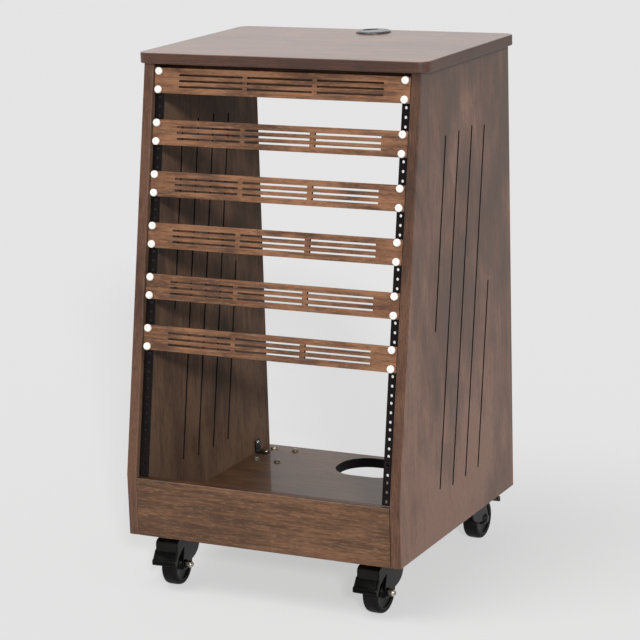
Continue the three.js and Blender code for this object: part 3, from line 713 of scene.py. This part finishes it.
def rack_rails():
    """Two L-section rails that lean with the front: a drilled face, and a leg along a side."""
    low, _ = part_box("rack_rail_right")
    foot = Vector((0.0, low.y / MM, low.z / MM + rail_leg_depth * math.sin(lean)))
    place = Matrix.Translation(foot) @ Matrix.Rotation(-lean, 4, "X")
    height = rack_units * unit_height
    inner_face = bay_half - seat_gap - rail_thickness
    for side, sign in (("left", -1), ("right", 1)):
        mirror = Matrix.Diagonal((sign, 1, 1, 1))
        strip = drilled_strip(rail_opening / 2, inner_face, hole_spacing / 2, rail_thickness)
        leg = prism([(inner_face, 0), (inner_face + rail_thickness, 0),
                     (inner_face + rail_thickness, rail_leg_depth),
                     (inner_face, rail_leg_depth)], 0, height)
        parts = []
        for points, faces in (strip, leg):
            if sign < 0:
                faces = [face[::-1] for face in faces]
            parts.append((placed((points, faces), place @ mirror), rail_steel))
        make_piece(f"drilled_rail_{side}", parts, "cabinet", [f"rack_rail_{side}"])


rack_rails()


# Cable grommet
def grommet():
    """The ring: its sleeve through the top, a ledge for the cap and a flange rolled over."""
    low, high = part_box("grommet_ring")
    middle = (low + high) / 2 / MM
    place = Matrix.Translation((middle.x, middle.y, high.z / MM))
    ring = lathe([
        (25.5, -23), (29, -23), (29, -3.7), (32, -3.7), (32, -2.9), (31.6, -2.0), (30.6, -1.3),
        (29.2, -0.9), (27.4, -0.9), (26.2, -1.1), (25.5, -1.6), (25.5, -3.8), (22, -3.8),
        (22, -6.3), (25.5, -9.8), (25.5, -23)], 64)
    make_piece("cable_grommet", [(placed(ring, place), grommet_plastic)], "cabinet",
               ["grommet_ring"])


grommet()


# Corner braces
def corner_braces():
    """Bent angle braces with rounded ends, and a pan head screw in each leg."""
    leg, wall = brace_leg, brace_thickness
    outline = (arc(3, 3, 3, 180, 270, 6) + arc(leg - 1.25, 1.25, 1.25, -90, 90, 6)
               + arc(wall + 2.5, wall + 2.5, 2.5, 270, 180, 6)
               + arc(1.25, leg - 1.25, 1.25, 0, 180, 6))
    head = lathe([(0, -1), (3.5, -1), (3.5, 0.3), (2.9, 1.0), (1.6, 1.4), (0, 1.5)], 20)
    cross = [moved(prism(rounded_rectangle(half_x, half_y, 0.2, 2), 0, 0.15), z=1.36)
             for half_x, half_y in ((1.9, 0.4), (0.4, 1.9))]
    for side, sign in (("left", -1), ("right", 1)):
        low, high = (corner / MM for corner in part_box(f"corner_brace_{side}"))
        board = low.x if sign < 0 else high.x
        angle = prism(outline, 0, high.y - low.y)
        # Outline x is away from the wall, outline y is up, and its thickness is along Y.
        stand = Matrix(((-sign, 0, 0, board), (0, 0, 1, low.y), (0, 1, 0, low.z), (0, 0, 0, 1)))
        if sign < 0:
            angle = (angle[0], [face[::-1] for face in angle[1]])
        parts = [(placed(angle, stand), brace_steel)]
        middle = (low.y + high.y) / 2
        foot = Matrix.Translation((board - sign * brace_screw, middle, low.z + wall))
        upright = Matrix.Translation((board - sign * wall, middle, low.z + brace_screw))
        upright = upright @ Matrix.Rotation(-sign * math.pi / 2, 4, "Y")
        for place in (foot, upright):
            parts.append((placed(head, place), zinc_steel))
            parts += [(placed(bar, place), brace_steel) for bar in cross]
        make_piece(f"angle_brace_{side}", parts, "cabinet",
                   [f"corner_brace_{side}"], bevel=0.3)


corner_braces()


# Casters
def caster_frame(corner):
    """The place of a caster: its origin on the swivel axis under the base, its X on the axle."""
    pivot = Vector(joints[f"caster_swivel_{corner}"]["pos_m"]) / MM
    axle = Vector(joints[f"wheel_spin_{corner}"]["axis"])
    back = Vector((0, 0, 1)).cross(axle)
    turn = Matrix((axle, back, (0, 0, 1))).transposed().to_4x4()
    return Matrix.Translation((pivot.x, pivot.y, base_underside)) @ turn


def base_bolt(turn):
    """A bolt through the base: rounded head below, flanged nut and the bolt's end above."""
    return [
        (lathe([(0, 18.2), (7.0, 18.2), (7.0, 18.7), (6.5, 19.1), (0, 19.1)], 28), shaded_zinc),
        (prism(hexagon(12.6, turn), 19.0, 21.6), shaded_zinc),
        (lathe([(0, -8), (3.2, -8), (3.2, 22.3), (2.7, 22.7), (0, 22.7)], 16), shaded_zinc),
        (lathe([(0, -8.6), (6.2, -8.6), (6.9, -8), (6.9, -4.6), (0, -3.2)], 24), shaded_zinc),
    ]


def caster_plate(corner):
    """The plate under the base with its raceway, the kingpin's head and four bolts."""
    centre = caster_frame(corner).to_translation()
    parts = [
        (prism(rounded_rectangle(33.5, 47.5, 6), -plate_drop, -0.3), caster_steel),
        (lathe([(0, -11.3), (20, -11.3), (24, -10.9), (26.4, -9.4), (27, -7.6), (26.6, -5.6),
                (25.4, -4.2), (25, -2), (0, -2)], 48), caster_steel),
        (lathe([(0, -19.1), (6.6, -19.1), (7.7, -18.5), (8, -17.4), (8, -16.1), (5, -16.1),
                (5, -9), (0, -9)], 32), zinc_steel),
    ]
    for x, y in bolt_places:
        bolt = base_bolt(nut_twist + x + y)
        parts += [(moved(shape, x, y), material) for shape, material in bolt]
    parts = [(moved(shape, centre.x, centre.y, base_underside), material)
             for shape, material in parts]
    make_piece(f"caster_mount_{corner}", parts, "cabinet",
               [f"caster_plate_{corner}"], bevel=0.5)


def fork_leg_outline():
    """Front edge, boss round the axle and broad rear edge of a fork leg, as (y, z)."""
    front = smooth_line([(fork_front, crown_bottom), (-36.0, -30.0), (-41.5, -52.0)], 3)
    boss = arc(-wheel_trail, axle_height, 11, 172, 348, 16)
    rear = smooth_line([(-22.0, -70.4), (-8.0, -68.4), (3.0, -65.6), (12.0, -61.4),
                        (19.0, -55.2), (23.6, -46.0), (26.2, -35.0), (27.8, -20.0),
                        (fork_rear, crown_bottom)], 3)
    return front + boss + rear


def caster_fork(corner):
    """A pressed fork: disc and bridge under the raceway, with legs turned down round a bend."""
    leg = fork_leg_outline()
    crown = lathe([(5.6, crown_top), (crown_radius - 1, crown_top),
                   (crown_radius, crown_top - 0.8), (crown_radius, crown_bottom + 1),
                   (25.6, crown_bottom - 0.4), (5.6, crown_bottom - 0.4), (5.6, crown_top)], 48)
    bend = 3.4
    outer = arc(leg_outer - bend, crown_top - bend, bend, 0, 90, 5)
    inner = arc(leg_inner - 0.9, crown_bottom - 0.9, 0.9, 90, 0, 3)
    shoulder = (outer + [(leg_inner - 3, crown_top), (leg_inner - 3, crown_bottom)] + inner
                + [(leg_inner, crown_bottom - 2.5), (leg_outer, crown_bottom - 2.5)])
    bridge_half = leg_inner - 2
    parts = [(crown, caster_steel)]
    for low, high in ((fork_front, -6.0), (6.0, fork_rear)):
        bridge = prism([(-bridge_half, low), (bridge_half, low), (bridge_half, high),
                        (-bridge_half, high)], crown_bottom, crown_top)
        parts.append((bridge, caster_steel))
    for sign in (-1, 1):
        bent = prism([(-sign * x, z) for x, z in shoulder], fork_front, fork_rear)
        parts.append((along_y(bent), caster_steel))
        low, high = sorted((sign * leg_inner, sign * leg_outer))
        parts.append((along_x(prism(leg, low, high)), caster_steel))
    axle = [
        (lathe([(0, -17), (5.9, -17), (5.9, 17), (0, 17)], 24), zinc_steel),
        (lathe([(0, 17.5), (7.8, 17.5), (7.8, 20.3), (7.2, 21.0), (0, 21.0)], 28), caster_steel),
        (prism(hexagon(13.6, 8), 21.0, 27.4), shaded_zinc),
        (lathe([(0, 19), (5.8, 19), (5.8, 28.8), (5.0, 29.8), (3.9, 29.8), (0, 29.4)], 24),
         zinc_steel),
        (lathe([(0, 19), (3.4, 19), (3.4, 31.0), (2.8, 31.6), (0, 31.6)], 16), shaded_zinc),
        (lathe([(0, -21.5), (4.6, -21.5), (7.0, -20.6), (8.4, -19.2), (8.8, -17.5), (0, -17.5)],
               28), caster_steel),
    ]
    parts += [(moved(along_x(shape), y=-wheel_trail, z=axle_height), material)
              for shape, material in axle]
    place = caster_frame(corner)
    parts = [(placed(shape, place), material) for shape, material in parts]
    make_piece(f"swivel_fork_{corner}", parts, f"caster_fork_{corner}",
               [f"caster_fork_{corner}"], bevel=0.6)


def caster_wheel(corner):
    """A nylon hub with a sunk web, and a rubber tread with rounded shoulders."""
    half = wheel_half
    side = [(6.3, half - 0.3), (10.4, half - 0.1), (11, half - 0.6), (11.8, half - 3.6),
            (13, half - 4.5), (25.2, half - 4.5), (26.8, half - 3.7), (27.6, half - 0.9),
            (28.3, half - 0.4), (29.4, half - 0.5)]
    tread = [(29.4, half - 0.5), (29.9, half - 1.0), (30.6, half - 0.2), (33.0, half),
             (34.9, half - 0.6), (36.2, half - 1.8), (37.0, half - 3.6), (37.4, half - 6.0),
             (wheel_radius, half - 8.5)]

    def both_sides(profile):
        """A profile and its mirror image across the wheel's middle, closed to a ring."""
        ring = profile + [(radius, -x) for radius, x in reversed(profile)]
        return (ring + ring[:1])[::-1]

    place = caster_frame(corner) @ Matrix.Translation((0, -wheel_trail, axle_height))
    parts = [(placed(along_x(lathe(both_sides(side), 72)), place), pedal_plastic),
             (placed(along_x(lathe(both_sides(tread), 96)), place), tread_rubber)]
    make_piece(f"rolling_wheel_{corner}", parts, f"caster_wheel_{corner}",
               [f"caster_wheel_{corner}"])


def brake_pedal(corner):
    """A moulded hood over the front of the wheel, with a broad tread and a lip for the foot."""
    brow = smooth_line([(-44.6, -16.4), (-55.0, -16.4), (-62.0, -16.5), (-67.6, -17.7),
                        (-71.6, -20.9), (-72.8, -25.0), (-72.9, -31.0), (-74.0, -36.4)], 3)
    face = [(-74.0, -36.4), (-82.6, -49.2)]
    lip = smooth_line([(-82.6, -49.2), (-84.9, -49.6), (-86.4, -51.4), (-86.8, -54.6),
                       (-86.4, -57.8), (-84.9, -59.6), (-82.6, -60.0)], 3)
    roof = brow + face[1:] + lip[1:]
    under = [(-80.0, -58.4), (-71.9, -47.8)]
    cheek = (roof + under + smooth_line([(-71.9, -47.8), (-60.0, -39.6), (-46.0, -33.6),
                                         (-33.0, -30.6)], 3)
             + arc(-26, -24, 7, -110, 70, 10) + [(-33, -16.9), (-38, -16.5)])
    inner_line = inset(roof[:-3], -pedal_wall)
    shell = roof + [(-81.4, -57.4)] + inner_line[::-1]
    parts = [(along_x(prism(shell, -pedal_half + 0.3, pedal_half - 0.3)), pedal_plastic)]
    tread_line = [(-72.9, -34.8)] + face + lip[1:] + [(-80.6, -57.4), (-70.9, -39.0)]
    parts.append((along_x(prism(tread_line, -tread_half, tread_half)), pedal_plastic))
    for low in (-pedal_half, pedal_half - pedal_wall):
        parts.append((along_x(prism(cheek, low, low + pedal_wall)), pedal_plastic))
    for low, high in ((leg_inner, pedal_half + 0.8), (-pedal_half - 0.8, -leg_inner)):
        pin = lathe([(0, low), (3, low), (3, high - 0.5), (2.5, high), (0, high)], 20)
        parts.append((moved(along_x(pin), y=pedal_pivot[1], z=pedal_pivot[2]), zinc_steel))
    shoe = [(-53, -18), (-53, -34.8), (-49, -33.3), (-44, -31.9), (-39, -31.2), (-39, -18)]
    parts.append((along_x(prism(shoe, -9, 9)), pedal_plastic))
    lift = Matrix.Rotation(-math.radians(pedal_lifts.get(corner, 0.0)), 4, "X")
    pivot = Vector(pedal_pivot)
    place = caster_frame(corner) @ Matrix.Translation(pivot) @ lift @ Matrix.Translation(-pivot)
    parts = [(placed(shape, place), material) for shape, material in parts]
    make_piece(f"foot_brake_{corner}", parts, f"brake_pedal_{corner}",
               [f"brake_pedal_{corner}"], bevel=0.6)


for corner in corners:
    caster_plate(corner)
    caster_fork(corner)
    caster_wheel(corner)
    brake_pedal(corner)


# Floor, lights and camera, in metres. The lens sees the floor as a mix of the backdrop's own
# colour, by the share given, and of paper that is lit as the object is.
backdrop_colour = "#e4e4e4"
paper_colour = "#dddddd"
backdrop_share = 0.66
floor_reach = 40.0
world_strength = 0.36


def seen_directly(tree, share):
    """This share for rays from the lens, off a gloss or through glass, and none for others."""
    path = add_node(tree, "ShaderNodeLightPath")
    seen = path.outputs["Is Camera Ray"]
    for kind in ("Is Glossy Ray", "Is Transmission Ray"):
        seen = add_node(tree, "ShaderNodeMath", {"operation": "MAXIMUM"}, {
            0: seen, 1: path.outputs[kind]}).outputs[0]
    return add_node(tree, "ShaderNodeMath", {"operation": "MULTIPLY"}, {
        0: seen, 1: share}).outputs[0]


def paper_floor():
    """Seamless paper: its own pale colour, with a part of the shadow that falls on it."""
    mesh = bpy.data.meshes.new("floor")
    mesh.from_pydata([(x * floor_reach, y * floor_reach, 0)
                      for x, y in ((-1, -1), (1, -1), (1, 1), (-1, 1))], [], [(0, 1, 2, 3)])
    floor = bpy.data.objects.new("floor", mesh)
    bpy.context.scene.collection.objects.link(floor)
    material = bpy.data.materials.new("seamless_paper")
    material.use_nodes = True
    tree = material.node_tree
    tree.nodes.clear()
    matt = add_node(tree, "ShaderNodeBsdfDiffuse", links={"Color": linear(paper_colour)})
    pale = add_node(tree, "ShaderNodeEmission", links={
        "Color": linear(backdrop_colour), "Strength": 1.0})
    mixed = add_node(tree, "ShaderNodeMixShader", links={
        0: seen_directly(tree, backdrop_share), 1: matt.outputs[0], 2: pale.outputs[0]})
    add_node(tree, "ShaderNodeOutputMaterial", links={"Surface": mixed.outputs[0]})
    mesh.materials.append(material)


def studio_light():
    """An even white surround, a wide soft lamp from the left and a smaller one from the right.

    Both stand in front. The left one is high, and the right one is low.
    """
    world = bpy.data.worlds.new("studio")
    bpy.context.scene.world = world
    world.use_nodes = True
    tree = world.node_tree
    tree.nodes.clear()
    soft = add_node(tree, "ShaderNodeBackground", links={
        "Color": linear("#ffffff"), "Strength": world_strength})
    pale = add_node(tree, "ShaderNodeBackground", links={
        "Color": linear(backdrop_colour), "Strength": 1.0})
    mixed = add_node(tree, "ShaderNodeMixShader", links={
        0: seen_directly(tree, 1.0), 1: soft.outputs[0], 2: pale.outputs[0]})
    add_node(tree, "ShaderNodeOutputWorld", links={"Surface": mixed.outputs[0]})
    for name, direction, strength, angle in (
            ("softbox_left", (0.34, 0.42, -1.15), 1.5, 34.0),
            ("softbox_right", (-0.5, 0.75, -0.38), 2.4, 7.0)):
        lamp = bpy.data.lights.new(name, "SUN")
        lamp.energy = strength
        lamp.angle = math.radians(angle)
        sun = bpy.data.objects.new(name, lamp)
        sun.rotation_euler = Vector(direction).to_track_quat("-Z", "Y").to_euler()
        bpy.context.scene.collection.objects.link(sun)


def photo_camera():
    """A long lens from the front right, half a metre above the top, as fitted to the photo."""
    lens = bpy.data.cameras.new("photo_camera")
    lens.sensor_width = 36.0
    lens.lens = 137.02
    lens.clip_end = 100.0
    camera = bpy.data.objects.new("photo_camera", lens)
    camera.location = (1.87925, -3.75382, 1.45716)
    camera.rotation_euler = [math.radians(a) for a in (76.45293, 1.70716, 26.26569)]
    bpy.context.scene.collection.objects.link(camera)
    bpy.context.scene.camera = camera


paper_floor()
studio_light()
photo_camera()
bpy.context.scene.view_settings.view_transform = "Standard"
